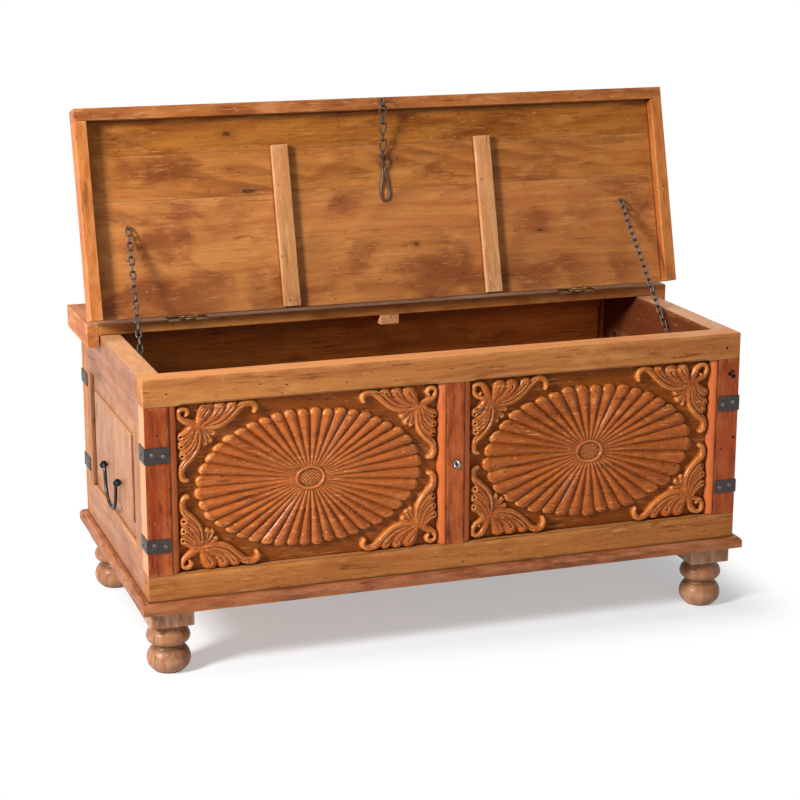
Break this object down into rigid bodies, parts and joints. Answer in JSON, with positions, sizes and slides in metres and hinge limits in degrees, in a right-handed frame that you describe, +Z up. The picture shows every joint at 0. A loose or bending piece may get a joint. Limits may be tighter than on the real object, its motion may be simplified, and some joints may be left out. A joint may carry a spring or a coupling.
{
  "type": "carved dowry chest",
  "caption": "Footed wooden dowry chest with fluted oval rosettes on its front, an open hinged lid on stay chains, a hasp chain, a lock lug and iron drop handles.",
  "frame": {"origin": "centre of the footprint, on the floor under the feet", "axes": "+Z up, +X along the length towards the right end seen from the front, the carved front faces -Y"},
  "size_m": [1.252, 0.632, 1.0125],
  "materials": {
    "frame_wood": "worn satin lacquer",
    "front_post_wood": "worn reddish lacquer",
    "carved_panel_wood": "waxed, dark in the recesses",
    "end_panel_wood": "satin",
    "lid_wood": "satin",
    "base_wood": "satin",
    "inner_board_wood": "dry, unfinished",
    "hinge_brass": "dull brass",
    "dark_iron": "dark, lightly rusted"
  },
  "bodies": {
    "carcass": {"back_board": "inner_board_wood", "back_bottom_rail": "frame_wood", "back_post_left": "frame_wood", "back_post_right": "frame_wood", "back_top_rail": "frame_wood", "base_moulding_back": "base_wood", "base_moulding_front": "base_wood", "base_moulding_left": "base_wood", "base_moulding_right": "base_wood", "carved_panel_left": "carved_panel_wood", "carved_panel_right": "carved_panel_wood", "corner_straps": "dark_iron", "end_back_stile_left": "frame_wood", "end_back_stile_right": "frame_wood", "end_bottom_rail_left": "frame_wood", "end_bottom_rail_right": "frame_wood", "end_front_stile_left": "frame_wood", "end_front_stile_right": "frame_wood", "end_panel_left": "end_panel_wood", "end_panel_right": "end_panel_wood", "end_top_rail_left": "frame_wood", "end_top_rail_right": "frame_wood", "floor_board": "inner_board_wood", "foot_back_left": "base_wood", "foot_back_right": "base_wood", "foot_front_left": "base_wood", "foot_front_right": "base_wood", "front_bottom_rail": "frame_wood", "front_muntin": "front_post_wood", "front_post_left": "front_post_wood", "front_post_right": "front_post_wood", "front_top_rail": "frame_wood", "handle_eyes": "dark_iron", "hinge_leaves_ledge": "hinge_brass", "hinge_pins": "hinge_brass", "ledge_batten": "lid_wood", "ledge_board": "lid_wood", "ledge_lip_left": "lid_wood", "ledge_lip_right": "lid_wood", "lock_eye": "dark_iron", "stay_screws": "dark_iron"},
    "lid": {"hasp_staple": "dark_iron", "hinge_leaves_lid": "hinge_brass", "lid_batten_left": "lid_wood", "lid_batten_right": "lid_wood", "lid_board_front": "lid_wood", "lid_board_middle": "lid_wood", "lid_board_rear": "lid_wood", "lid_lip_front": "lid_wood", "lid_lip_left": "lid_wood", "lid_lip_right": "lid_wood", "stay_eyes": "dark_iron"},
    "stay_upper_left": {"stay_chain_upper_left": "dark_iron"},
    "stay_upper_right": {"stay_chain_upper_right": "dark_iron"},
    "stay_lower_left": {"stay_chain_lower_left": "dark_iron"},
    "stay_lower_right": {"stay_chain_lower_right": "dark_iron"},
    "hasp_chain": {"hasp_links": "dark_iron"},
    "hasp_end_loop": {"hasp_loop": "dark_iron"},
    "handle_left": {"handle_bail_left": "dark_iron"},
    "handle_right": {"handle_bail_right": "dark_iron"}
  },
  "joints": [
    {"name": "lid_hinge", "type": "hinge", "parent": "carcass", "child": "lid", "pos_m": [0, 0.086, 0.6015], "axis": [1, 0, 0], "range_deg": [0, 105]},
    {"name": "stay_upper_swing_left", "type": "hinge", "parent": "lid", "child": "stay_upper_left", "pos_m": [-0.534, 0.10068, 0.78185], "axis": [1, 0, 0], "range_deg": [-106, 0]},
    {"name": "stay_lower_swing_left", "type": "hinge", "parent": "carcass", "child": "stay_lower_left", "pos_m": [-0.552, -0.075, 0.53], "axis": [1, 0, 0], "range_deg": [0, 181]},
    {"name": "stay_upper_swing_right", "type": "hinge", "parent": "lid", "child": "stay_upper_right", "pos_m": [0.521, 0.10068, 0.78185], "axis": [1, 0, 0], "range_deg": [-106, 0]},
    {"name": "stay_lower_swing_right", "type": "hinge", "parent": "carcass", "child": "stay_lower_right", "pos_m": [0.552, -0.075, 0.53], "axis": [1, 0, 0], "range_deg": [0, 181]},
    {"name": "hasp_chain_swing", "type": "hinge", "parent": "lid", "child": "hasp_chain", "pos_m": [0, 0.12928, 0.99779], "axis": [1, 0, 0], "range_deg": [-114, 0]},
    {"name": "hasp_loop_swing", "type": "hinge", "parent": "hasp_chain", "child": "hasp_end_loop", "pos_m": [0, 0.12928, 0.89421], "axis": [1, 0, 0], "range_deg": [-60, 0]},
    {"name": "handle_swing_left", "type": "hinge", "parent": "carcass", "child": "handle_left", "pos_m": [-0.607, 0, 0.318], "axis": [0, 1, 0], "range_deg": [0, 90]},
    {"name": "handle_swing_right", "type": "hinge", "parent": "carcass", "child": "handle_right", "pos_m": [0.607, 0, 0.318], "axis": [0, -1, 0], "range_deg": [0, 90]}
  ],
  "couplings": [
    {"joint": "stay_upper_swing_left", "follows": "lid_hinge", "ratio": -1},
    {"joint": "stay_lower_swing_left", "follows": "lid_hinge", "ratio": 1.72},
    {"joint": "stay_upper_swing_right", "follows": "lid_hinge", "ratio": -1},
    {"joint": "stay_lower_swing_right", "follows": "lid_hinge", "ratio": 1.72},
    {"joint": "hasp_chain_swing", "follows": "lid_hinge", "ratio": -1.0762}
  ]
}
